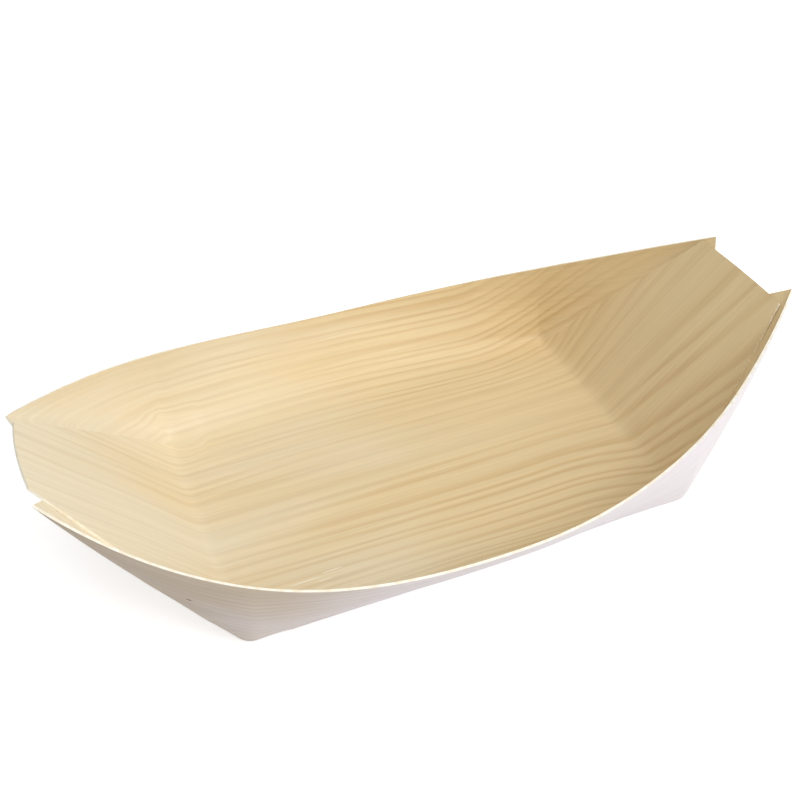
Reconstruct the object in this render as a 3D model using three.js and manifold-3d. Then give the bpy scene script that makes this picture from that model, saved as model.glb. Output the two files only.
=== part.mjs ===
// A serving boat folded from one rectangular sheet of thin wood veneer.
//
// Two slanted slits at each end of the blank leave a tongue between two flaps. The tongue folds up
// on the inside, the long sides bend up into walls, and the two flaps wrap round the end, cross
// behind the tongue and are glued there. The grain runs from end to end.
//
// X is the length, Y the width and Z is up. The origin is under the middle of the floor.
import * as THREE from 'three';
import Module from 'manifold-3d';

const wasm = await Module();
wasm.setup();

// The sheet
const VENEER = 0.7;             // thickness of the veneer
const GLUE_BITE = 0.06;         // how far two glued layers sink into each other

// The floor
const FLOOR_HALF_MIDDLE = 43.8; // half width of the floor at mid length, to the corner of the bend
const FOLD_REACH = 2.6;         // the soft fold of a tongue starts this far before its line

// The bend between the floor and a wall
const BEND_MIDDLE = 13;         // reach of the bend to either side of its corner, at mid length
const BEND_FADE = 1.2;          // power with which the bend tightens towards the folds
const BEND_LIMIT = 0.6;         // largest share of a wall that the bend takes up

// The rim, which is the long edge of the blank
const RIM_HALF = 57.4;          // half width of the boat at mid length
const RIM_HEIGHT = 20.8;        // height of the rim at mid length
const RIM_SWEEP = 2.25;         // power with which the rim rises towards the tips
const RIM_LAG = 1.7;            // the rim over a fold lies this much nearer to the middle
const WALL_BELLY = 0.8;         // how far a wall bows outwards at mid height

// The tips, which are the four corners of the blank
const TIP_REACH = 110;          // centre of the boat to a tip
const TIP_SPREAD = 17.6;        // half the distance between the two tips of one end
const TIP_HEIGHT = 44;          // height of a tip

// The tongues
const TONGUE_STANDOFF = 1.4;    // the tips lie this far outside the tongue
const BOW_POWER = 4;            // the bow of the top edge fades out down the tongue with this power
const TONGUE_SLACK = 0.3;       // the tongue clears each slit by this much at its top

// The flaps
const FLAP_SETTLE = 4;          // a flap lies against the tongue from this far past its crease

// The two ends were folded by hand and differ a little. A tip's own numbers are added to
// TIP_REACH and TIP_HEIGHT.
const ENDS = [
  {
    way: 1,
    foldAt: 65.2,               // centre of the floor to the fold of the tongue
    floorHalf: 42.9,            // half width of the floor at the fold
    fullness: 2.27,             // power with which the rim draws in towards the tips
    bend: 2,                    // reach of the bend beside the fold
    tongueLength: 59.5,         // fold to top edge
    tongueHalfTop: 19.1,
    tongueBow: 0.4,             // how far the top edge bows out at its middle
    tips: { near: { reach: 1.6, rise: 1.8 }, far: { reach: 0.6, rise: 0.2 } },
  },
  {
    way: -1,
    foldAt: 67,
    floorHalf: 44.3,
    fullness: 3.1,
    bend: 5,
    tongueLength: 59.3,
    tongueHalfTop: 13.3,
    tongueBow: 1.3,
    tips: { near: { reach: -3.4, rise: -0.9 }, far: { reach: -1.7, rise: -0.8 } },
  },
];
const SIDES = [{ name: 'near', way: -1 }, { name: 'far', way: 1 }];

// How finely the surfaces are divided
const ROWS_PER_HALF = 12;       // from mid length to a fold
const ROW_CROWDING = 1.5;       // power with which those rows draw together towards the fold
const FLOOR_COLUMNS = 3;        // from the centre line to the bend
const BEND_COLUMNS = 6;
const WALL_COLUMNS = 4;
const CORNER_ROWS = 8;          // from a fold to a tip
const TONGUE_ROWS = 6;
const FLAP_COLUMNS = 7;

const mix = THREE.MathUtils.lerp;
const smooth = THREE.MathUtils.smoothstep;
const range = (count) => Array.from({ length: count + 1 }, (_, i) => i / count);
const vec = (x, y, z) => new THREE.Vector3(x, y, z);

// The tip of one corner, on the middle of the sheet.
function tipOf(end, side) {
  const { reach, rise } = end.tips[side.name];
  return vec(end.way * (TIP_REACH + reach), side.way * TIP_SPREAD, TIP_HEIGHT + rise);
}

// The rim of one quarter of the boat at the distance x from the middle.
function rimAt(x, end, side) {
  const tip = tipOf(end, side);
  const t = Math.abs(x / tip.x);
  return vec(
    end.way * x,
    side.way * mix(RIM_HALF, TIP_SPREAD, t ** end.fullness),
    mix(RIM_HEIGHT, tip.z, t ** RIM_SWEEP),
  );
}

// The centre line of one end, as the distance along it grows past the start of the fold: it runs
// level, bends up round the fold and goes on as the tongue.
function foldProfile(end) {
  const tipMean = SIDES.map((side) => tipOf(end, side)).reduce((sum, tip) => sum.add(tip), vec(0, 0, 0));
  tipMean.divideScalar(SIDES.length);
  const run = Math.abs(tipMean.x) - end.foldAt;
  const rise = tipMean.z - VENEER / 2;
  const angle = Math.atan2(rise, run) + Math.asin(TONGUE_STANDOFF / Math.hypot(run, rise));
  const radius = FOLD_REACH / Math.tan(angle / 2);
  const arc = radius * angle;
  const start = end.foldAt - FOLD_REACH;
  const at = (s) => {
    const turned = THREE.MathUtils.clamp((s - start) / radius, 0, angle);
    const past = Math.max(0, s - start - arc);
    return {
      x: Math.min(s, start) + radius * Math.sin(turned) + past * Math.cos(angle),
      z: VENEER / 2 + radius * (1 - Math.cos(turned)) + past * Math.sin(angle),
    };
  };
  const slit = start + arc / 2;
  return { angle, at, slit, foldEnd: start + arc, top: start + arc + end.tongueLength - FOLD_REACH };
}

// Half of a cross section, from the centre line to the rim, at the distance s from the middle:
// a level floor, a bend that is a parabola about its corner, and a wall with a slight belly.
function halfSection(s, end, side, profile) {
  const t = s / profile.slit;
  const floor = profile.at(s);
  const corner = mix(FLOOR_HALF_MIDDLE, end.floorHalf, t ** 2);
  const reach = mix(BEND_MIDDLE, end.bend, t ** BEND_FADE);
  const rim = rimAt(s - RIM_LAG * t ** 3, end, side);
  const rimHalf = Math.abs(rim.y);
  const wallLength = Math.hypot(rimHalf - corner, rim.z - floor.z);
  const up = { y: (rimHalf - corner) / wallLength, z: (rim.z - floor.z) / wallLength };
  const bendUp = Math.min(reach, wallLength * BEND_LIMIT);
  const points = [];
  const push = (y, z, lean) => {
    const x = mix(floor.x, Math.abs(rim.x), lean);
    points.push(vec(end.way * x, side.way * y, z));
  };
  for (const k of range(FLOOR_COLUMNS)) push(mix(0, corner - reach, k), floor.z, 0);
  const bendLean = bendUp / wallLength;
  for (const k of range(BEND_COLUMNS).slice(1)) {
    const toCorner = (1 - k) ** 2 * -reach;
    const fromCorner = k ** 2 * bendUp;
    push(corner + toCorner + fromCorner * up.y, floor.z + fromCorner * up.z, bendLean * k ** 2);
  }
  for (const k of range(WALL_COLUMNS).slice(1)) {
    const along = mix(bendUp, wallLength, k);
    const belly = WALL_BELLY * Math.sin(Math.PI * k);
    push(corner + along * up.y + belly * up.z, floor.z + along * up.z - belly * up.y, along / wallLength);
  }
  return points;
}

// The middle surface of the sheet, as triangles on shared points, with a patch name for each.
class Sheet {
  points = [];
  triangles = [];
  #byPlace = new Map();

  index(point) {
    const key = point.toArray().map((value) => Math.round(value * 1e5)).join();
    if (!this.#byPlace.has(key)) {
      this.#byPlace.set(key, this.points.length);
      this.points.push(point);
    }
    return this.#byPlace.get(key);
  }

  // rows is a grid of points. Its faces look up when turned is false and the rows run along +X
  // while the columns run along +Y.
  addGrid(patch, rows, turned) {
    const grid = rows.map((row) => row.map((point) => this.index(point)));
    for (let i = 1; i < grid.length; i++) {
      for (let j = 1; j < grid[i].length; j++) {
        const [a, b, c, d] = [grid[i - 1][j - 1], grid[i][j - 1], grid[i][j], grid[i - 1][j]];
        for (const corners of [[a, b, c], [a, c, d]]) {
          if (new Set(corners).size < 3) continue;
          this.triangles.push({ patch, corners: turned ? corners.reverse() : corners });
        }
      }
    }
  }

  normals() {
    const sums = this.points.map(() => vec(0, 0, 0));
    for (const { corners } of this.triangles) {
      const [a, b, c] = corners.map((i) => this.points[i]);
      const normal = b.clone().sub(a).cross(c.clone().sub(a)).normalize();
      [[a, b, c], [b, c, a], [c, a, b]].forEach(([p, q, r], k) => {
        const angle = q.clone().sub(p).angleTo(r.clone().sub(p));
        sums[corners[k]].addScaledVector(normal, angle);
      });
    }
    return sums.map((sum) => sum.normalize());
  }

  // A closed solid of the veneer's thickness from the patches that are named.
  solid(...patches) {
    const faces = this.triangles.filter(({ patch }) => patches.includes(patch)).map(({ corners }) => corners);
    const used = [...new Set(faces.flat())];
    const place = new Map(used.map((index, order) => [index, order]));
    const normals = this.normals();
    const above = used.map((i) => this.points[i].clone().addScaledVector(normals[i], VENEER / 2));
    const below = used.map((i) => this.points[i].clone().addScaledVector(normals[i], -VENEER / 2));
    const triangles = [];
    const directed = new Set(faces.flatMap(([a, b, c]) => [`${a}>${b}`, `${b}>${c}`, `${c}>${a}`]));
    for (const [a, b, c] of faces) {
      const top = [a, b, c].map((i) => place.get(i));
      triangles.push(top, top.map((i) => i + used.length).reverse());
      for (const [from, to] of [[a, b], [b, c], [c, a]]) {
        if (directed.has(`${to}>${from}`)) continue;
        const [p, q] = [place.get(from), place.get(to)];
        triangles.push([q, p, p + used.length], [q, p + used.length, q + used.length]);
      }
    }
    const vertProperties = new Float32Array([...above, ...below].flatMap((point) => point.toArray()));
    const triVerts = new Uint32Array(triangles.flat());
    return new wasm.Manifold(new wasm.Mesh({ numProp: 3, vertProperties, triVerts }));
  }
}

// The floor and walls between the two folds.
function addHull(sheet, profiles) {
  const stations = [
    ...range(ROWS_PER_HALF).slice(1).reverse().map((t) => ({ end: ENDS[1], t })),
    ...range(ROWS_PER_HALF).map((t) => ({ end: ENDS[0], t })),
  ];
  const rows = stations.map(({ end, t }) => {
    const profile = profiles.get(end);
    const s = profile.slit * (1 - (1 - t) ** ROW_CROWDING);
    const [near, far] = SIDES.map((side) => halfSection(s, end, side, profile));
    return [...near.slice(1).reverse(), ...far];
  });
  sheet.addGrid('hull', rows, false);
}

// The corner of a wall: a cone from the end of the hull to the tip, with the rim's own curve.
function addCorner(sheet, end, side, profile) {
  const tip = tipOf(end, side);
  const base = halfSection(profile.slit, end, side, profile).slice(FLOOR_COLUMNS);
  const rimStart = base.at(-1);
  const rows = range(CORNER_ROWS).map((p) => {
    const straight = rimStart.clone().lerp(tip, p);
    const curved = rimAt(mix(Math.abs(rimStart.x), Math.abs(tip.x), p), end, side);
    const swell = curved.sub(straight);
    return base.map((point, j) => {
      const share = smooth(j / (base.length - 1), 0, 1);
      return point.clone().lerp(tip, p).addScaledVector(swell, p < 1 ? share : 0);
    });
  });
  sheet.addGrid('hull', rows, end.way * side.way < 0);
  return rows.map((row) => row[0]);
}

// The tongue, from the slit ends up to its slightly bowed top edge.
function addTongue(sheet, end, profile) {
  const base = SIDES.map((side) => halfSection(profile.slit, end, side, profile).slice(0, FLOOR_COLUMNS + 1));
  const across = [...base[0].slice(1).reverse(), ...base[1]].map((point) => point.y);
  const slitHalf = Math.abs(across[0]);
  const straightRows = range(TONGUE_ROWS).map((k) => mix(profile.foldEnd, profile.top, k));
  const stops = [profile.slit, mix(profile.slit, profile.foldEnd, 0.5), ...straightRows];
  const rows = stops.map((s) => {
    const share = (s - profile.slit) / (profile.top - profile.slit);
    const half = mix(slitHalf, end.tongueHalfTop - TONGUE_SLACK * share, share);
    return across.map((y) => {
      const bow = share ** BOW_POWER * end.tongueBow * (1 - (y / slitHalf) ** 2);
      const { x, z } = profile.at(s + bow);
      return vec(end.way * x, (y * half) / slitHalf, z);
    });
  });
  sheet.addGrid('tongues', rows, end.way < 0);
  return slitHalf;
}

// A flap, from its crease round behind the tongue. layer is 1 for the flap that lies against the
// tongue, and 2 for the one glued over it.
function addFlap(sheet, end, side, profile, crease, slitHalf, layer) {
  const [slitEnd, tip] = [crease[0], crease.at(-1)];
  const wall = halfSection(profile.slit, end, side, profile).slice(FLOOR_COLUMNS);
  const wallGirth = wall.slice(1).reduce((sum, point, i) => sum + point.distanceTo(wall[i]), 0);
  const taper = slitHalf - end.tongueHalfTop;
  const slitLength = Math.hypot(end.tongueLength, taper);
  const turn = Math.atan2(wallGirth, end.tongueLength) + Math.atan2(taper, end.tongueLength);
  const along = tip.clone().sub(slitEnd).normalize();
  const across = vec(0, -side.way, 0);
  const inPlane = across.clone().addScaledVector(along, -across.dot(along)).normalize();
  const slitWay = along.clone().multiplyScalar(Math.cos(turn)).addScaledVector(inPlane, Math.sin(turn));
  const endCorner = slitEnd.clone().addScaledVector(slitWay, slitLength);

  const inward = vec(-end.way * Math.sin(profile.angle), 0, Math.cos(profile.angle));
  const topEdge = profile.at(profile.top);
  const onTongue = vec(end.way * topEdge.x, 0, topEdge.z);
  const tipDepth = tip.clone().sub(onTongue).dot(inward);
  const layerPitch = VENEER - GLUE_BITE;
  const rows = range(CORNER_ROWS).map((p, i) => {
    const slitPoint = slitEnd.clone().lerp(endCorner, p);
    return range(FLAP_COLUMNS).map((q) => {
      const flat = crease[i].clone().lerp(slitPoint, q);
      const height = (flat.z - slitEnd.z) / (tip.z - slitEnd.z);
      const depth = flat.clone().sub(onTongue).dot(inward);
      const wanted = mix(-layerPitch, tipDepth, height) - (layer - 1) * layerPitch;
      const fromCrease = crease[i].distanceTo(flat);
      return flat.addScaledVector(inward, (wanted - depth) * smooth(fromCrease, 0, FLAP_SETTLE));
    });
  });
  sheet.addGrid(`${side.name} flaps`, rows, end.way * side.way > 0);
}

// The tongues, the near flaps and the far flaps lie on each other, so each of the three goes with
// the hull into a solid of its own, and the three solids are joined.
function foldedBoat() {
  const sheet = new Sheet();
  const profiles = new Map(ENDS.map((end) => [end, foldProfile(end)]));
  addHull(sheet, profiles);
  for (const end of ENDS) {
    const profile = profiles.get(end);
    const slitHalf = addTongue(sheet, end, profile);
    SIDES.forEach((side, order) => {
      const crease = addCorner(sheet, end, side, profile);
      addFlap(sheet, end, side, profile, crease, slitHalf, order + 1);
    });
  }
  return ['tongues', 'near flaps', 'far flaps']
    .map((layer) => sheet.solid('hull', layer))
    .reduce((whole, piece) => whole.add(piece));
}

function toGeometry(solid) {
  const mesh = solid.getMesh();
  const geometry = new THREE.BufferGeometry();
  geometry.setAttribute('position', new THREE.BufferAttribute(mesh.vertProperties, mesh.numProp));
  geometry.setIndex(new THREE.BufferAttribute(mesh.triVerts, 1));
  geometry.computeBoundingBox();
  const { min, max } = geometry.boundingBox;
  geometry.translate(-(min.x + max.x) / 2, -(min.y + max.y) / 2, -min.z);
  return geometry;
}

const veneer = new THREE.MeshStandardMaterial({ color: 0xe6cf9f, roughness: 0.7, metalness: 0 });
const boat = new THREE.Mesh(toGeometry(foldedBoat()), veneer);
boat.name = 'veneer_boat';

const group = new THREE.Group();
group.add(boat);

export default group;
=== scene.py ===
# %% [markdown]
# # A serving boat of folded wood veneer
#
# The boat is one rectangular sheet of thin veneer. Two slits at each end leave a tongue between two
# flaps. The tongue folds up on the inside, the long sides bend up into walls, and the flaps cross
# behind the tongue and are glued there.
#
# In Blender it could be sculpted, or simulated as cloth, but veneer is stiff: it bends in one
# direction at a time and never stretches. So the sheet is built as it is made by hand. Grids stand
# for the panels of the flat blank, every vertex is moved to where the folding takes it, and it
# remembers where it lay in the blank, so that the grain can follow the sheet round each fold.

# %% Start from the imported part
import functools
import math

import bmesh
import bpy
from mathutils import Euler, Matrix, Vector, noise
from mathutils.geometry import intersect_point_line


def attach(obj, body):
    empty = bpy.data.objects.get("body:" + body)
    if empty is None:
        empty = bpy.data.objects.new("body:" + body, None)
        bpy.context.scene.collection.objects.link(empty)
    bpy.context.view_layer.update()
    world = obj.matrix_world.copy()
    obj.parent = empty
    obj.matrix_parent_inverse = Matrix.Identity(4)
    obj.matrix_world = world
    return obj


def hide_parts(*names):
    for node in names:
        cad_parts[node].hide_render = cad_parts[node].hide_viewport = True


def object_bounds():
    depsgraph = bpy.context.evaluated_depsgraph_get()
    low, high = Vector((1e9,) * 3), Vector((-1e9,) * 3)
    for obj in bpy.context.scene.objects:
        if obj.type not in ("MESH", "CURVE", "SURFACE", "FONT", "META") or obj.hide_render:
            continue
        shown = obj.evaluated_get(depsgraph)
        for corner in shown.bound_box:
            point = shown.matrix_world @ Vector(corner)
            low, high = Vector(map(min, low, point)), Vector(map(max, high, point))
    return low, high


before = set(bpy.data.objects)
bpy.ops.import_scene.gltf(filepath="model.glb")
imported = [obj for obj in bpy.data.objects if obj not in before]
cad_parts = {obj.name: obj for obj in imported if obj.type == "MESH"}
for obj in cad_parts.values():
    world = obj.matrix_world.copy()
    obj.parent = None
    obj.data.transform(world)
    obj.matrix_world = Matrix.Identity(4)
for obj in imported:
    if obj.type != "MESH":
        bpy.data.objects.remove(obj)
cad_low, cad_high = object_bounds()
print("CAD box in millimetres:", [round(size * 1000, 1) for size in cad_high - cad_low])

# %% [markdown]
# ## Sizes
#
# These are the sizes of the part's own source, in metres. The script keeps them together here,
# because the folding below is worked out from them. A person folds such a boat over a former in a
# second, so its two ends and its four tips aren't quite alike.

# %% The sheet, its folds and its rim
VENEER = 0.0007                # thickness of the veneer
GLUE_BITE = 0.00006            # how far two glued layers sink into each other

FLOOR_HALF_MIDDLE = 0.0438     # half width of the floor at mid length, to the corner of the bend
FOLD_REACH = 0.0026            # the soft fold of a tongue starts this far before its line

BEND_MIDDLE = 0.013            # reach of the bend to either side of its corner, at mid length
BEND_FADE = 1.2                # power with which the bend tightens towards the folds
BEND_LIMIT = 0.6               # largest share of a wall that the bend takes up

RIM_HALF = 0.0574              # half width of the boat at mid length
RIM_HEIGHT = 0.0208            # height of the rim at mid length
RIM_SWEEP = 2.25               # power with which the rim rises towards the tips
RIM_LAG = 0.0017               # the rim over a fold lies this much nearer to the middle
WALL_BELLY = 0.0008            # how far a wall bows outwards at mid height

TIP_REACH = 0.110              # centre of the boat to a tip
TIP_SPREAD = 0.0176            # half the distance between the two tips of one end
TIP_HEIGHT = 0.044             # height of a tip

TONGUE_STANDOFF = 0.0014       # the tips lie this far outside the tongue
BOW_POWER = 4                  # the bow of the top edge fades out down the tongue with this power
TONGUE_SLACK = 0.0003          # the tongue clears each slit by this much at its top
FLAP_SETTLE = 0.004            # a flap lies against the tongue from this far past its crease

# %% The two ends and the two sides
RIGHT = {
    "way": 1,
    "fold_at": 0.0652,         # centre of the floor to the fold of the tongue
    "floor_half": 0.0429,      # half width of the floor at the fold
    "fullness": 2.27,          # power with which the rim draws in towards the tips
    "bend": 0.002,             # reach of the bend beside the fold
    "tongue_length": 0.0595,   # fold to top edge
    "tongue_half_top": 0.0191,
    "tongue_bow": 0.0004,      # how far the top edge bows out at its middle
    "tips": {"near": (0.0016, 0.0018), "far": (0.0006, 0.0002)},
    "crease_reach": 0.0018,    # how far to either side a crease is softened
    "crease_passes": 3,
    "corner_reach": 0.003,     # how far round its corner the floor is softened
    "corner_passes": 4,
}
LEFT = {
    "way": -1,
    "fold_at": 0.067,
    "floor_half": 0.0443,
    "fullness": 3.1,
    "bend": 0.005,
    "tongue_length": 0.0593,
    "tongue_half_top": 0.0133,
    "tongue_bow": 0.0013,
    "tips": {"near": (-0.0034, -0.0009), "far": (-0.0017, -0.0008)},
    "crease_reach": 0.0035,
    "crease_passes": 10,
    "corner_reach": 0.011,
    "corner_passes": 40,
}
SIDES = {"near": -1, "far": 1}
SLIT_MARGIN = 0.0012           # beside a slit nothing is softened
SLIT_CALM = 0.7                # the softening fades out over this share of its reach at a slit's end

# %% How finely the panels are divided
ROWS_PER_HALF = 44             # from mid length to a fold
ROW_CROWDING = 1.5             # power with which those rows draw together towards the fold
FLOOR_COLUMNS = 10             # from the centre line to the bend
BEND_COLUMNS = 14
WALL_COLUMNS = 12
HALF_COLUMNS = FLOOR_COLUMNS + BEND_COLUMNS + WALL_COLUMNS
CORNER_ROWS = 30               # from a fold to a tip
TONGUE_ROWS = 34
FLAP_COLUMNS = 22


def mix(start, end, share):
    return start + (end - start) * share


def smooth(share):
    share = min(max(share, 0), 1)
    return share * share * (3 - 2 * share)


# %% [markdown]
# ## The lines that the folding follows
#
# A few lines of the boat decide all the rest: the four tips, the rim that sweeps between them, and
# the centre line, which runs level along the floor, turns up round a soft fold and goes on as the
# tongue. Each one is a small function, so that every panel that meets on a line asks the same
# function and the panels join without a gap.

# %% Tips, rim and centre line
def tip_of(end, side):
    reach, rise = end["tips"][side]
    return Vector((end["way"] * (TIP_REACH + reach), SIDES[side] * TIP_SPREAD, TIP_HEIGHT + rise))


def rim_at(x, end, side):
    tip = tip_of(end, side)
    share = abs(x / tip.x)
    y = SIDES[side] * mix(RIM_HALF, TIP_SPREAD, share ** end["fullness"])
    return Vector((end["way"] * x, y, mix(RIM_HEIGHT, tip.z, share ** RIM_SWEEP)))


class CentreLine:
    """The middle of one end: level, round the fold, and up the tongue."""

    def __init__(self, end):
        tips = [tip_of(end, side) for side in SIDES]
        run = sum(abs(tip.x) for tip in tips) / len(tips) - end["fold_at"]
        rise = sum(tip.z for tip in tips) / len(tips) - VENEER / 2
        self.angle = math.atan2(rise, run) + math.asin(TONGUE_STANDOFF / math.hypot(run, rise))
        self.radius = FOLD_REACH / math.tan(self.angle / 2)
        self.start = end["fold_at"] - FOLD_REACH
        self.arc = self.radius * self.angle
        self.slit = self.start + self.arc / 2
        self.top = self.start + self.arc + end["tongue_length"] - FOLD_REACH

    def at(self, s):
        """Distance from the middle of the boat and height, s along the sheet."""
        turned = min(max((s - self.start) / self.radius, 0), self.angle)
        past = max(0, s - self.start - self.arc)
        x = min(s, self.start) + self.radius * math.sin(turned) + past * math.cos(self.angle)
        z = VENEER / 2 + self.radius * (1 - math.cos(turned)) + past * math.sin(self.angle)
        return x, z


for end in (RIGHT, LEFT):
    end["line"] = CentreLine(end)
    print("the tongue stands at", round(math.degrees(end["line"].angle), 1), "degrees")

# %% [markdown]
# ## The cross section
#
# Cut across the boat and half of the cut shows three things: a level floor, a bend, and a wall
# with a slight belly. The bend is a parabola, which a stiff sheet comes close to, and it is wide
# at mid length and tight beside the folds. The function also gives how far each point lies from
# the centre line along the sheet, which is its place across the flat blank.

# %% Half of a cross section
def half_section(s, end, side, column):
    """Folded place and place across the blank, for a column that is counted from the centre."""
    line = end["line"]
    along_boat = s / line.slit
    floor_x, floor_z = line.at(s)
    corner = mix(FLOOR_HALF_MIDDLE, end["floor_half"], along_boat ** 2)
    reach = mix(BEND_MIDDLE, end["bend"], along_boat ** BEND_FADE)
    rim = rim_at(s - RIM_LAG * along_boat ** 3, end, side)
    wall = Vector((abs(rim.y) - corner, rim.z - floor_z))
    wall_length = wall.length
    out, up = wall / wall_length
    bend_up = min(reach, wall_length * BEND_LIMIT)
    bend_chord = math.hypot(reach + bend_up * out, bend_up * up)
    bend_length = (2 * bend_chord + reach + bend_up) / 3
    if column <= FLOOR_COLUMNS:
        y, z = mix(0, corner - reach, column / FLOOR_COLUMNS), floor_z
        lean, across = 0, y
    elif column <= FLOOR_COLUMNS + BEND_COLUMNS:
        k = (column - FLOOR_COLUMNS) / BEND_COLUMNS
        y = corner - (1 - k) ** 2 * reach + k ** 2 * bend_up * out
        z = floor_z + k ** 2 * bend_up * up
        lean, across = bend_up / wall_length * k ** 2, corner - reach + bend_length * k
    else:
        k = (column - FLOOR_COLUMNS - BEND_COLUMNS) / WALL_COLUMNS
        along = mix(bend_up, wall_length, k)
        belly = WALL_BELLY * math.sin(math.pi * k)
        y = corner + along * out + belly * up
        z = floor_z + along * up - belly * out
        lean, across = along / wall_length, corner - reach + bend_length + along - bend_up
    x = mix(floor_x, abs(rim.x), lean)
    place = Vector((end["way"] * x, SIDES[side] * y, z))
    return place, Vector((end["way"] * s, SIDES[side] * across))


# %% [markdown]
# ## The panels
#
# Every panel starts as a grid from one bmesh operator. Its vertices are then moved to their folded
# places, and each keeps its place in the flat blank in a layer of its own.

# %% A grid that is laid over a panel
sheet = bmesh.new()
in_blank = sheet.verts.layers.float_vector.new("in_blank")


def add_panel(rows, columns, folded):
    """folded(row, column) gives a vertex its folded place and its place in the blank."""
    made = bmesh.ops.create_grid(sheet, x_segments=rows, y_segments=columns, size=0.5)
    for vert in made["verts"]:
        row, column = round((vert.co.x + 0.5) * rows), round((vert.co.y + 0.5) * columns)
        place, blank = folded(row, column)
        vert.co = place
        vert[in_blank] = (blank.x, blank.y, 0)
    return made["verts"]


# %% The floor and walls between the two folds
def hull(row, column):
    end = RIGHT if row >= ROWS_PER_HALF else LEFT
    side = "far" if column >= HALF_COLUMNS else "near"
    share = abs(row - ROWS_PER_HALF) / ROWS_PER_HALF
    s = end["line"].slit * (1 - (1 - share) ** ROW_CROWDING)
    return half_section(s, end, side, abs(column - HALF_COLUMNS))


hull_verts = add_panel(2 * ROWS_PER_HALF, 2 * HALF_COLUMNS, hull)
print("the floor and walls have", len(hull_verts), "vertices")

# %% [markdown]
# ## The wall corners
#
# From the slit's end to the tip each wall is a piece of a cone: straight lines run from the last
# cross section to the tip. Only the rim is a little fuller than the straight line, because the
# sheet is springy there.

# %% A cone from the last cross section to the tip
def corner(end, side, row, column):
    line, tip = end["line"], tip_of(end, side)
    share = row / CORNER_ROWS
    base, blank = half_section(line.slit, end, side, FLOOR_COLUMNS + column)
    rim_start, rim_blank = half_section(line.slit, end, side, HALF_COLUMNS)
    curved = rim_at(mix(abs(rim_start.x), abs(tip.x), share), end, side)
    swell = (curved - rim_start.lerp(tip, share)) * smooth(column / (HALF_COLUMNS - FLOOR_COLUMNS))
    tip_blank = Vector((end["way"] * (line.slit + end["tongue_length"]), rim_blank.y))
    place = base.lerp(tip, share)
    return place + (swell if share < 1 else Vector()), blank.lerp(tip_blank, share)


for end in (RIGHT, LEFT):
    for side in SIDES:
        add_panel(CORNER_ROWS, HALF_COLUMNS - FLOOR_COLUMNS, functools.partial(corner, end, side))

# %% [markdown]
# ## The tongues
#
# A tongue carries on from the floor between the two slits. It is wider at its fold than at its
# top edge, which bows out a little where the flaps pull on it.

# %% The tongue of each end
def tongue(end, row, column):
    line = end["line"]
    s = mix(line.slit, line.top, row / TONGUE_ROWS)
    share = row / TONGUE_ROWS
    across = column / FLOOR_COLUMNS - 1
    slit_half = half_section(line.slit, end, "far", FLOOR_COLUMNS)[0].y
    half = mix(slit_half, end["tongue_half_top"] - TONGUE_SLACK * share, share)
    x, z = line.at(s + share ** BOW_POWER * end["tongue_bow"] * (1 - across ** 2))
    return Vector((end["way"] * x, across * half, z)), Vector((end["way"] * s, across * half))


for end in (RIGHT, LEFT):
    add_panel(TONGUE_ROWS, 2 * FLOOR_COLUMNS, functools.partial(tongue, end))

# %% [markdown]
# ## The flaps
#
# Each flap turns round a crease that goes from the slit's end to the tip. Its angle between the
# crease and the slit is the same flat and folded, which gives the place of its far corner. Then it
# settles against the back of the tongue: the near flap first, and the far flap over it.

# %% A flap, from its crease round behind the tongue
def flap(end, side, row, column):
    line, tip = end["line"], tip_of(end, side)
    slit_end, slit_blank = half_section(line.slit, end, side, FLOOR_COLUMNS)
    _, rim_blank = half_section(line.slit, end, side, HALF_COLUMNS)
    wall_girth = abs(rim_blank.y - slit_blank.y)
    taper = abs(slit_end.y) - end["tongue_half_top"]
    turn = math.atan2(wall_girth, end["tongue_length"]) + math.atan2(taper, end["tongue_length"])
    along = (tip - slit_end).normalized()
    across = Vector((0, -SIDES[side], 0))
    in_plane = (across - along * across.dot(along)).normalized()
    slit_way = along * math.cos(turn) + in_plane * math.sin(turn)
    end_corner = slit_end + slit_way * math.hypot(end["tongue_length"], taper)

    share = row / CORNER_ROWS
    crease = slit_end.lerp(tip, share)
    place = crease.lerp(slit_end.lerp(end_corner, share), column / FLAP_COLUMNS)

    inward = Vector((-end["way"] * math.sin(line.angle), 0, math.cos(line.angle)))
    top_x, top_z = line.at(line.top)
    on_tongue = Vector((end["way"] * top_x, 0, top_z))
    pitch = VENEER - GLUE_BITE
    height = (place.z - slit_end.z) / (tip.z - slit_end.z)
    layers_over = list(SIDES).index(side)
    wanted = mix(-pitch, (tip - on_tongue).dot(inward), height) - layers_over * pitch
    settled = smooth((place - crease).length / FLAP_SETTLE)
    place += inward * (wanted - (place - on_tongue).dot(inward)) * settled

    end_x = end["way"] * (line.slit + end["tongue_length"])
    crease_blank = slit_blank.lerp(Vector((end_x, rim_blank.y)), share)
    slit_edge = slit_blank.lerp(Vector((end_x, SIDES[side] * end["tongue_half_top"])), share)
    return place, crease_blank.lerp(slit_edge, column / FLAP_COLUMNS)


for end in (RIGHT, LEFT):
    for side in SIDES:
        add_panel(CORNER_ROWS, FLAP_COLUMNS, functools.partial(flap, end, side))

# %% [markdown]
# ## Join the panels
#
# Where two panels meet on a line of the sheet their vertices lie on each other, so they are
# merged. The slits stay open, because the tongue and the flaps pass there without touching. Then
# all faces are turned to look up out of the boat, and the sheet is centred on the CAD part.

# %% One sheet with four slits
WELD = 1e-7

bmesh.ops.remove_doubles(sheet, verts=sheet.verts, dist=WELD)
bmesh.ops.dissolve_degenerate(sheet, edges=sheet.edges, dist=WELD)
bmesh.ops.recalc_face_normals(sheet, faces=sheet.faces)
lowest = min(sheet.faces, key=lambda face: face.calc_center_median().z)
if lowest.normal.z < 0:
    bmesh.ops.reverse_faces(sheet, faces=sheet.faces)

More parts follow.
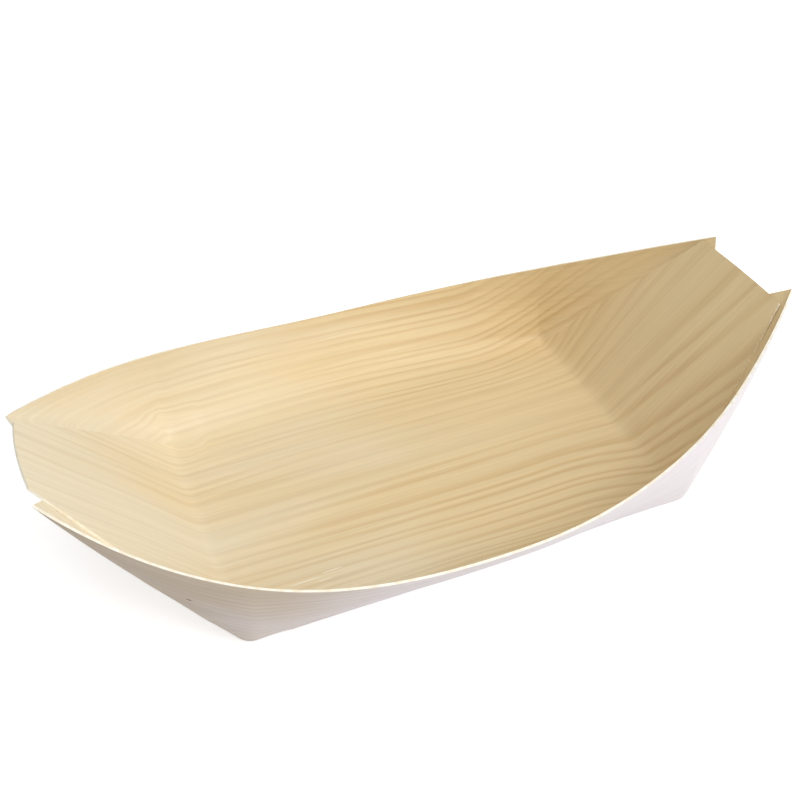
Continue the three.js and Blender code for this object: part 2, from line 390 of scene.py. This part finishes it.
xs = [vert.co.x for vert in sheet.verts]
middle_of_cad = (cad_low.x + cad_high.x) / 2
bmesh.ops.translate(sheet, verts=sheet.verts, vec=(middle_of_cad - (min(xs) + max(xs)) / 2, 0, 0))
print("the sheet has", len(sheet.verts), "vertices and", len(sheet.faces), "faces")

# %% [markdown]
# ## Soften the creases
#
# The creases from the slits to the tips are still knife-edged. A veneer is pressed round a former,
# so its outer face keeps a small radius, and where the fold was started late the corner of the
# floor is rounder still. Smoothing the vertices beside a crease a few times does just that. The
# edges of the sheet are left out, so they stay where they are, and towards the end of a slit there
# are fewer passes, so that no step shows there.

# %% Round the four creases and the corners of the floor
SOFTEN = {"factor": 0.5, "use_axis_x": True, "use_axis_y": True, "use_axis_z": True}
CORNER_SPAN = 2                # a corner of the floor is softened over this many times its bend


def distance_to(blank, start, end):
    _, share = intersect_point_line(blank, start, end)
    return (blank - start.lerp(end, min(max(share, 0), 1))).length


def smooth_near(line, slit, reach, passes):
    """Smooths what lies within reach of a line in the blank, but not beside the slit."""
    near = []
    for vert in sheet.verts:
        blank = vert[in_blank]
        off_slit = distance_to(blank, *slit) > SLIT_MARGIN
        if off_slit and not vert.is_boundary and distance_to(blank, *line) < reach:
            near.append(vert)
    for step in range(passes):
        calm = reach * SLIT_CALM * step / passes
        free = [vert for vert in near if (vert[in_blank] - slit[0]).length > calm]
        bmesh.ops.smooth_vert(sheet, verts=free, **SOFTEN)
    return len(near)


for end in (RIGHT, LEFT):
    for side in SIDES:
        slit_start = half_section(end["line"].slit, end, side, FLOOR_COLUMNS)[1].to_3d()
        rim_blank = half_section(end["line"].slit, end, side, HALF_COLUMNS)[1]
        end_x = end["way"] * (end["line"].slit + end["tongue_length"])
        slit = (slit_start, Vector((end_x, SIDES[side] * end["tongue_half_top"], 0)))
        crease = (slit_start, Vector((end_x, rim_blank.y, 0)))
        bend_end = slit_start + Vector((0, SIDES[side] * end["bend"] * CORNER_SPAN, 0))
        count = smooth_near(crease, slit, end["crease_reach"], end["crease_passes"])
        count += smooth_near((slit_start, bend_end), slit, end["corner_reach"], end["corner_passes"])
        print("softened", count, "vertices at the", side, "crease")

# %% [markdown]
# ## Let the sheet be a little uneven
#
# A peeled sheet dries unevenly, so its walls are never quite true. A smooth noise moves the walls
# by a few tenths of a millimetre, always inwards, so that the boat keeps its outer size. It fades
# out on the floor, which is flat on the table, and at the tips.

# %% Waves in the walls
WAVE = 0.0007                  # largest inward move
WAVE_SCALE = 22                # waves per metre
LEVEL_BELOW = 0.004            # the lowest part of the walls keeps to the floor
RISE_CALM = 0.02               # the waves grow over this height above it
TIP_CALM = 0.03                # and fade out over this length before the tips

sheet.normal_update()
reach_of_tips = max(abs(vert.co.x) for vert in sheet.verts)
moves = {}
for vert in sheet.verts:
    wave = 0.5 + 0.5 * noise.noise(vert.co * WAVE_SCALE)
    risen = smooth((vert.co.z - LEVEL_BELOW) / RISE_CALM)
    calm = smooth((reach_of_tips - abs(vert.co.x)) / TIP_CALM)
    moves[vert] = vert.normal * (WAVE * wave * (risen * calm))
for vert, move in moves.items():
    vert.co += move
print("the largest wave is", round(max(move.length for move in moves.values()) * 1000, 2), "mm deep")

# %% Keep the place in the blank as a UV map
uv = sheet.loops.layers.uv.new("blank")
for face in sheet.faces:
    face.smooth = True
    for loop in face.loops:
        loop[uv].uv = loop.vert[in_blank].xy

mesh = bpy.data.meshes.new("veneer")
sheet.to_mesh(mesh)
sheet.free()
boat = bpy.data.objects.new("folded_veneer", mesh)
bpy.context.scene.collection.objects.link(boat)

# %% [markdown]
# ## How veneer gets its figure
#
# Veneer is shaved off a log, so its stripes are growth rings seen from the side. A painted stripe
# pattern would look printed. Here the log itself is described: each point of the blank gets its
# distance from the heart of the log, and the wood darkens wherever that distance nears a full year.
# The lines run from end to end, wide apart above the heart and close together beside it, and
# towards the right end, where the log was thicker, they fan out. All of it reads the blank's UV
# map, whose unit is the metre, so each stripe follows the sheet round its folds.

# %% A helper that adds nodes to one material
MILLIMETRES = 1000             # a metre of the blank in the unit of the patterns


class Finish:
    """One material, whose nodes are added and linked in the order in which they are written."""

    def __init__(self, name):
        self.material = bpy.data.materials.new(name)
        self.material.use_nodes = True
        self.tree = self.material.node_tree
        self.shader = self.tree.nodes["Principled BSDF"]

    def add(self, kind, inputs=(), **settings):
        node = self.tree.nodes.new(kind)
        for name, value in settings.items():
            setattr(node, name, value)
        for name, value in dict(inputs).items():
            self.feed(node.inputs[name], value)
        return node

    def feed(self, socket, value):
        if isinstance(value, bpy.types.NodeSocket):
            self.tree.links.new(value, socket)
        else:
            socket.default_value = value

    def math(self, operation, first, second=0.0):
        return self.add("ShaderNodeMath", {0: first, 1: second}, operation=operation).outputs[0]

    def remap(self, value, low, high, to_low=0.0, to_high=1.0, shape="SMOOTHSTEP"):
        inputs = {0: value, 1: low, 2: high, 3: to_low, 4: to_high}
        return self.add("ShaderNodeMapRange", inputs, interpolation_type=shape).outputs[0]

    def noise(self, place, scale, detail=2.0, roughness=0.5):
        """Noise whose scale is given along the grain and across it, in features per millimetre."""
        stretched = self.add("ShaderNodeMapping", {"Vector": place, "Scale": (*scale, 1)}).outputs[0]
        inputs = {"Vector": stretched, "Scale": 1.0, "Detail": detail, "Roughness": roughness}
        return self.add("ShaderNodeTexNoise", inputs).outputs[0]

    def blend(self, share, first, second, how="MIX"):
        node = self.add("ShaderNodeMix", data_type="RGBA", blend_type=how)
        for number, value in ((0, share), (6, first), (7, second)):
            self.feed(node.inputs[number], value)
        return node.outputs[2]

    def emboss(self, height, strength, depth):
        inputs = {"Strength": strength, "Distance": depth, "Height": height}
        self.feed(self.shader.inputs["Normal"], self.add("ShaderNodeBump", inputs).outputs[0])


# %% The log, in millimetres
HEART = 6.0                    # the heart of the log lies this far to the far side of the centre line
DEPTH = 6.0                    # and this far below the sheet
FAN_FROM, FAN_TO = 35.0, 130.0
FAN = 1.9                      # the rings spread this many times as wide over the right end
WANDER = 6.0                   # how far a ring wanders from its place
WANDER_NOISE = (0.25, 0.75)    # the part of the noise that is used for it
GOOD_YEARS = 2.4               # good and bad years move a ring by up to this many years
FEATHER = 0.3                  # and the fibres blur it by this many
LATE_WOOD = (0.3, 0.76)        # part of a year over which the wood turns dark

# %% Sizes of the patterns, in features per millimetre along the grain and across it
WANDER_SCALE = (0.004, 0.013)
YEAR_SCALE = (0.13, 1.0)
FEATHER_SCALE = (0.02, 0.7)
CLOUD_SCALE = (0.01, 0.035)
PATCH_SCALE = (0.008, 0.022)
STREAK_SCALE = (0.01, 0.85)
FIBRE_SCALE = (0.07, 5.0)
LOOSE_SCALE = (0.035, 2.6)
LOOSE_PATCH_SCALE = (0.02, 0.03)
CRUMB_SCALE = (0.5, 0.5)


# %% Where a point lies in the log
def in_millimetres(finish):
    blank = finish.add("ShaderNodeUVMap", uv_map="blank").outputs[0]
    return finish.add("ShaderNodeMapping", {"Vector": blank, "Scale": (MILLIMETRES,) * 3}).outputs[0]


def growth_rings(finish, place, year):
    """0 between two years and 1 on the dark line that ends each of them; year is a mean width."""
    split = finish.add("ShaderNodeSeparateXYZ", {0: place})
    along, across = split.outputs[0], split.outputs[1]
    wander = finish.noise(place, WANDER_SCALE, detail=1)
    wander = finish.remap(wander, *WANDER_NOISE, -WANDER, WANDER, "LINEAR")
    sideways = finish.math("ADD", finish.math("SUBTRACT", across, HEART), wander)
    sideways = finish.math("DIVIDE", sideways, finish.remap(along, FAN_FROM, FAN_TO, 1.0, FAN))
    squares = finish.math("ADD", finish.math("MULTIPLY", sideways, sideways), DEPTH ** 2)
    radius = finish.math("SQRT", squares)
    outwards = finish.add("ShaderNodeCombineXYZ", {0: radius}).outputs[0]
    good_years = finish.math("MULTIPLY", finish.noise(outwards, YEAR_SCALE, detail=1), GOOD_YEARS)
    feather = finish.math("MULTIPLY", finish.noise(place, FEATHER_SCALE, detail=2), FEATHER)
    years = finish.math("ADD", finish.math("DIVIDE", radius, year), good_years)
    season = finish.math("FRACT", finish.math("ADD", years, feather))
    late = finish.remap(season, *LATE_WOOD)
    next_spring = finish.remap(season, LATE_WOOD[1], 1.0, 1.0, 0.0)
    return finish.math("MULTIPLY", late, next_spring)


# %% [markdown]
# ## Finishes of the sheet
#
# The sheet has three finishes. The inside is honey-yellow with clear rings, and its tones hold
# painted light: cream on the left, where light falls, and deeper honey on the right for painted warm
# bounce light and shade. The outside is the same wood, painted paler and greyer for the cool bounce
# from the floor, with painted shade on its left and a painted near-white lit tone on its right, and
# it has the marks of torn fibres. The cut edge is cream, because fresh wood shows there, and its
# paler cream is painted lighter still, as painted light where the lamps only graze it. All three
# share the same log.

# %% Values that both faces share
COLOUR_FROM, COLOUR_TO = -115.0, 25.0   # the tone and its painted light and shade change from left to right between these
CLOUDS = 80.0                  # clouds move that change of tone and painted light by up to this much
CLOUD_NOISE = (0.2, 0.8)
RINGS_FROM, RINGS_TO = -100.0, 40.0     # the rings grow stronger between these
PATCHES = (0.38, 0.62)         # the part of the noise over which the rings come and go
PATCH_LEAST = 0.3              # what is left of a ring between the patches
STREAK_SHARE = 0.6             # the grain is made of streaks, and fibres for the rest
GRAIN_NOISE = (0.3, 0.7)
LOOSE_NOISE = (0.68, 0.76)     # only the highest noise is a loose fibre
LOOSE_PATCHES = (0.5, 0.62)
LOOSE_STRENGTH = 0.5
PALE = (0.93, 0.87, 0.74, 1)   # loose fibres and scratches
FLECK = (0.22, 0.14, 0.09, 1)
MARK_EDGE = (0.6, 1.1)         # a mark's soft edge, in shares of its half size
ROUGH_VARIES = 0.08
SHEEN = 0.35
RING_RELIEF = -0.3             # a ring lies a little deeper than the fibres
LOOSE_RELIEF = 0.8
RELIEF_DEPTH = 0.00007
RELIEF_STRENGTH = 0.6


# %% A small mark on the sheet
def mark(finish, place, centre, half_sizes):
    """1 inside a soft-edged oval of the blank, given in millimetres, and 0 outside it."""
    shrink = [1 / size for size in half_sizes]
    offset = [-middle * scale for middle, scale in zip(centre, shrink)]
    inputs = {"Vector": place, "Location": (*offset, 0), "Scale": (*shrink, 1)}
    spot = finish.add("ShaderNodeMapping", inputs).outputs[0]
    distance = finish.add("ShaderNodeVectorMath", {0: spot}, operation="LENGTH").outputs["Value"]
    return finish.remap(distance, *MARK_EDGE, 1.0, 0.0)


# %% A veneer face
def veneer_face(name, left_with_painted_light, right_with_painted_light, ring, year, ring_strengths, grain_strength, roughness, shift, marks):
    finish = Finish(name)
    place = in_millimetres(finish)
    move = (shift, shift, 0)
    shifted = finish.add("ShaderNodeVectorMath", {0: place, 1: move}, operation="ADD").outputs[0]

    along = finish.add("ShaderNodeSeparateXYZ", {0: place}).outputs[0]
    # Painted light and shade: the tone goes from the left colour to the right one, and both have the
    # light and shade that fall there painted into them.
    clouds = finish.noise(shifted, CLOUD_SCALE, detail=3)
    clouds = finish.remap(clouds, *CLOUD_NOISE, -CLOUDS, CLOUDS, "LINEAR")
    painted_light_share = finish.remap(finish.math("ADD", along, clouds), COLOUR_FROM, COLOUR_TO)
    colour = finish.blend(painted_light_share, left_with_painted_light, right_with_painted_light)

    rings = growth_rings(finish, place, year)
    presence = finish.noise(shifted, PATCH_SCALE, detail=2)
    presence = finish.remap(presence, *PATCHES, PATCH_LEAST, 1.0)
    rings = finish.math("MULTIPLY", rings, presence)
    strength = finish.remap(along, RINGS_FROM, RINGS_TO, *ring_strengths)
    colour = finish.blend(finish.math("MULTIPLY", rings, strength), colour, ring)

    streaks = finish.noise(shifted, STREAK_SCALE, detail=4, roughness=0.6)
    fibres = finish.noise(shifted, FIBRE_SCALE, detail=3, roughness=0.6)
    streaks = finish.math("MULTIPLY", streaks, STREAK_SHARE)
    grain = finish.math("ADD", streaks, finish.math("MULTIPLY", fibres, 1 - STREAK_SHARE))
    darkest, lightest = 1 - grain_strength, 1 + grain_strength / 2
    grain = finish.remap(grain, *GRAIN_NOISE, darkest, lightest, "LINEAR")
    grain = finish.add("ShaderNodeCombineXYZ", {0: grain, 1: grain, 2: grain}).outputs[0]
    colour = finish.blend(1.0, colour, grain, "MULTIPLY")

    loose = finish.remap(finish.noise(shifted, LOOSE_SCALE, detail=1), *LOOSE_NOISE)
    patches = finish.remap(finish.noise(shifted, LOOSE_PATCH_SCALE), *LOOSE_PATCHES)
    loose = finish.math("MULTIPLY", loose, patches)
    colour = finish.blend(finish.math("MULTIPLY", loose, LOOSE_STRENGTH), colour, PALE)

    for centre, half_sizes, tone in marks:
        colour = finish.blend(mark(finish, place, centre, half_sizes), colour, tone)

    finish.feed(finish.shader.inputs["Base Color"], colour)
    rough = finish.remap(fibres, *GRAIN_NOISE, roughness - ROUGH_VARIES, roughness + ROUGH_VARIES)
    finish.feed(finish.shader.inputs["Roughness"], rough)
    finish.shader.inputs["Specular IOR Level"].default_value = SHEEN
    relief = finish.math("ADD", fibres, finish.math("MULTIPLY", rings, RING_RELIEF))
    relief = finish.math("ADD", relief, finish.math("MULTIPLY", loose, LOOSE_RELIEF))
    finish.emboss(relief, RELIEF_STRENGTH, RELIEF_DEPTH)
    return finish.material


inside = veneer_face(
    "veneer_inside",
    # cream on the left, where painted light falls, and honey on the right with painted warm bounce
    # light and shade
    left_with_painted_light=(0.80, 0.70, 0.51, 1),
    right_with_painted_light=(0.79, 0.62, 0.355, 1),
    ring=(0.56, 0.35, 0.14, 1),
    year=3.0,
    ring_strengths=(0.16, 0.45),
    grain_strength=0.11,
    roughness=0.52,
    shift=0.0,
    marks=[
        ((-46.0, -29.2), (5.0, 0.16), PALE),
        ((-38.0, -28.2), (3.6, 0.14), PALE),
        ((-41.0, -30.6), (2.6, 0.12), PALE),
    ],
)
outside = veneer_face(
    "veneer_outside",
    # painted shade on the left, and on the right a painted near-white lit tone with a lavender painted
    # reflection of the white floor
    left_with_painted_light=(0.60, 0.50, 0.385, 1),
    right_with_painted_light=(0.83, 0.775, 0.79, 1),
    ring=(0.50, 0.38, 0.27, 1),
    year=1.7,
    ring_strengths=(0.28, 0.08),
    grain_strength=0.13,
    roughness=0.65,
    shift=40.0,
    marks=[((-84.6, -59.8), (0.9, 0.35), FLECK)],
)


# %% The cut edge
# The paler cream of the cut edge is painted lighter than the wood, as painted light where the lamps
# only graze the edge.
CUT_PALE_WITH_PAINTED_LIGHT = (0.97, 0.93, 0.82, 1)
CUT_DARK = (0.90, 0.81, 0.63, 1)
CUT_NOISE = (0.35, 0.7)
CUT_ROUGHNESS = 0.7
CUT_RELIEF_STRENGTH = 0.4
CUT_RELIEF_DEPTH = 0.00005


def cut_edge():
    finish = Finish("veneer_cut_edge")
    crumbs = finish.remap(finish.noise(in_millimetres(finish), CRUMB_SCALE, detail=3), *CUT_NOISE)
    finish.feed(finish.shader.inputs["Base Color"], finish.blend(crumbs, CUT_PALE_WITH_PAINTED_LIGHT, CUT_DARK))
    finish.shader.inputs["Roughness"].default_value = CUT_ROUGHNESS
    finish.emboss(crumbs, CUT_RELIEF_STRENGTH, CUT_RELIEF_DEPTH)
    return finish.material


# %% [markdown]
# ## Give the sheet its thickness
#
# Solidify turns the sheet into a thin solid. It can give the back and the rim of the sheet the next
# materials of the list, so the three finishes go on first: inside, outside and cut edge. Applied,
# the mesh can have its cut edges marked as sharp, and it is brought into the box of the CAD part,
# from which the thickness at the tips stuck out by a few hundredths of a millimetre.

# %% Thickness, finishes and sharp edges
SHARP_ABOVE = math.radians(40)

for material in (inside, outside, cut_edge()):
    boat.data.materials.append(material)
thickness = boat.modifiers.new("thickness", "SOLIDIFY")
thickness.thickness = VENEER
thickness.offset = 0
thickness.use_even_offset = True
thickness.material_offset = 1
thickness.material_offset_rim = 2
bpy.context.view_layer.objects.active = boat
bpy.ops.object.modifier_apply(modifier=thickness.name)
boat.data.set_sharp_from_angle(angle=SHARP_ABOVE)

places = [vert.co for vert in boat.data.vertices]
fit = [min(1, cad_high[axis] / max(abs(place[axis]) for place in places)) for axis in range(3)]
boat.data.transform(Matrix.Diagonal((*fit, 1)))
print("with its thickness the sheet has", len(boat.data.polygons), "faces; scaled by", fit)

# %% Hand the boat to the frame
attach(boat, "root")
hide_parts("veneer_boat")

# %% [markdown]
# ## Camera
#
# A camera at the photograph's viewing angle: in front of the boat, to the left of its middle and
# above it, looking down by 40 degrees and turned to the right.

# %% Camera
SENSOR = 36                    # width of the sensor and focal length, in millimetres
FOCAL_LENGTH = 47.69
NEAREST = 0.01
CAMERA_PLACE = (-0.0972, -0.2103, 0.2211)
LOOK_DOWN = math.radians(40.12)
TURN_RIGHT = math.radians(23.06)

camera_data = bpy.data.cameras.new("camera")
camera = bpy.data.objects.new("camera", camera_data)
bpy.context.scene.collection.objects.link(camera)
camera_data.sensor_width = SENSOR
camera_data.lens = FOCAL_LENGTH
camera_data.clip_start = NEAREST
camera.location = CAMERA_PLACE
camera.rotation_euler = Euler((math.pi / 2 - LOOK_DOWN, 0, -TURN_RIGHT))
bpy.context.scene.camera = camera

# %% [markdown]
# ## A white studio
#
# The photo has a pure white background and almost no shadow. The floor is paper white, and it and
# the sky give some extra light to the rays that the camera sees. The light that falls on the boat
# stays softer, so the boat keeps its tones and its faint shadow.

# %% Rays that the camera sees
def seen_by_camera(tree):
    """1 for the rays by which the camera sees something, and 0 for those that light the scene."""
    rays = tree.nodes.new("ShaderNodeLightPath")
    seen = rays.outputs["Is Camera Ray"]
    for kind in ("Is Glossy Ray", "Is Transmission Ray"):
        either = tree.nodes.new("ShaderNodeMath")
        either.operation = "MAXIMUM"
        tree.links.new(seen, either.inputs[0])
        tree.links.new(rays.outputs[kind], either.inputs[1])
        seen = either.outputs[0]
    return seen


# %% Floor
FLOOR_SIZE = 3
FLOOR_DROP = 0.0002            # the floor lies this far below the boat
FLOOR_GLOW = 0.62              # light that only the camera sees, so that the floor turns white
PAPER = (0.8, 0.8, 0.8, 1)
WHITE = (1, 1, 1, 1)
PAPER_ROUGHNESS = 0.9
PAPER_SHEEN = 0.1

floor_mesh = bpy.data.meshes.new("floor")
ground = bmesh.new()
bmesh.ops.create_grid(ground, x_segments=1, y_segments=1, size=FLOOR_SIZE)
bmesh.ops.translate(ground, verts=ground.verts, vec=(0, 0, -FLOOR_DROP))
ground.to_mesh(floor_mesh)
ground.free()
floor = bpy.data.objects.new("floor", floor_mesh)
bpy.context.scene.collection.objects.link(floor)

paper = Finish("white_floor")
glow = paper.math("MULTIPLY", seen_by_camera(paper.tree), FLOOR_GLOW)
paper.shader.inputs["Base Color"].default_value = PAPER
paper.shader.inputs["Roughness"].default_value = PAPER_ROUGHNESS
paper.shader.inputs["Specular IOR Level"].default_value = PAPER_SHEEN
paper.shader.inputs["Emission Color"].default_value = WHITE
paper.feed(paper.shader.inputs["Emission Strength"], glow)
floor_mesh.materials.append(paper.material)

# %% Lamps
def lamp(name, power, size, place):
    """A square area lamp that looks at the middle of the boat's floor; watts and metres."""
    data = bpy.data.lights.new(name, "AREA")
    data.energy = power
    data.size = size
    item = bpy.data.objects.new(name, data)
    item.location = place
    item.rotation_euler = (-Vector(place)).to_track_quat("-Z", "Y").to_euler()
    bpy.context.scene.collection.objects.link(item)


lamp("key", power=10, size=1.1, place=(0.75, -0.8, 0.75))
lamp("top", power=4.5, size=1.0, place=(0.1, -0.35, 1.1))

# %% Sky
SKY_LIGHT = 0.45               # what the sky gives to the boat
SKY_SEEN = 1.0                 # what the camera sees of it

world = bpy.data.worlds.new("studio")
world.use_nodes = True
sky = world.node_tree.nodes["Background"]
sky.inputs["Color"].default_value = WHITE
strength = world.node_tree.nodes.new("ShaderNodeMapRange")
strength.inputs["To Min"].default_value = SKY_LIGHT
strength.inputs["To Max"].default_value = SKY_SEEN
world.node_tree.links.new(seen_by_camera(world.node_tree), strength.inputs["Value"])
world.node_tree.links.new(strength.outputs[0], sky.inputs["Strength"])
bpy.context.scene.world = world
bpy.context.scene.view_settings.view_transform = "Standard"
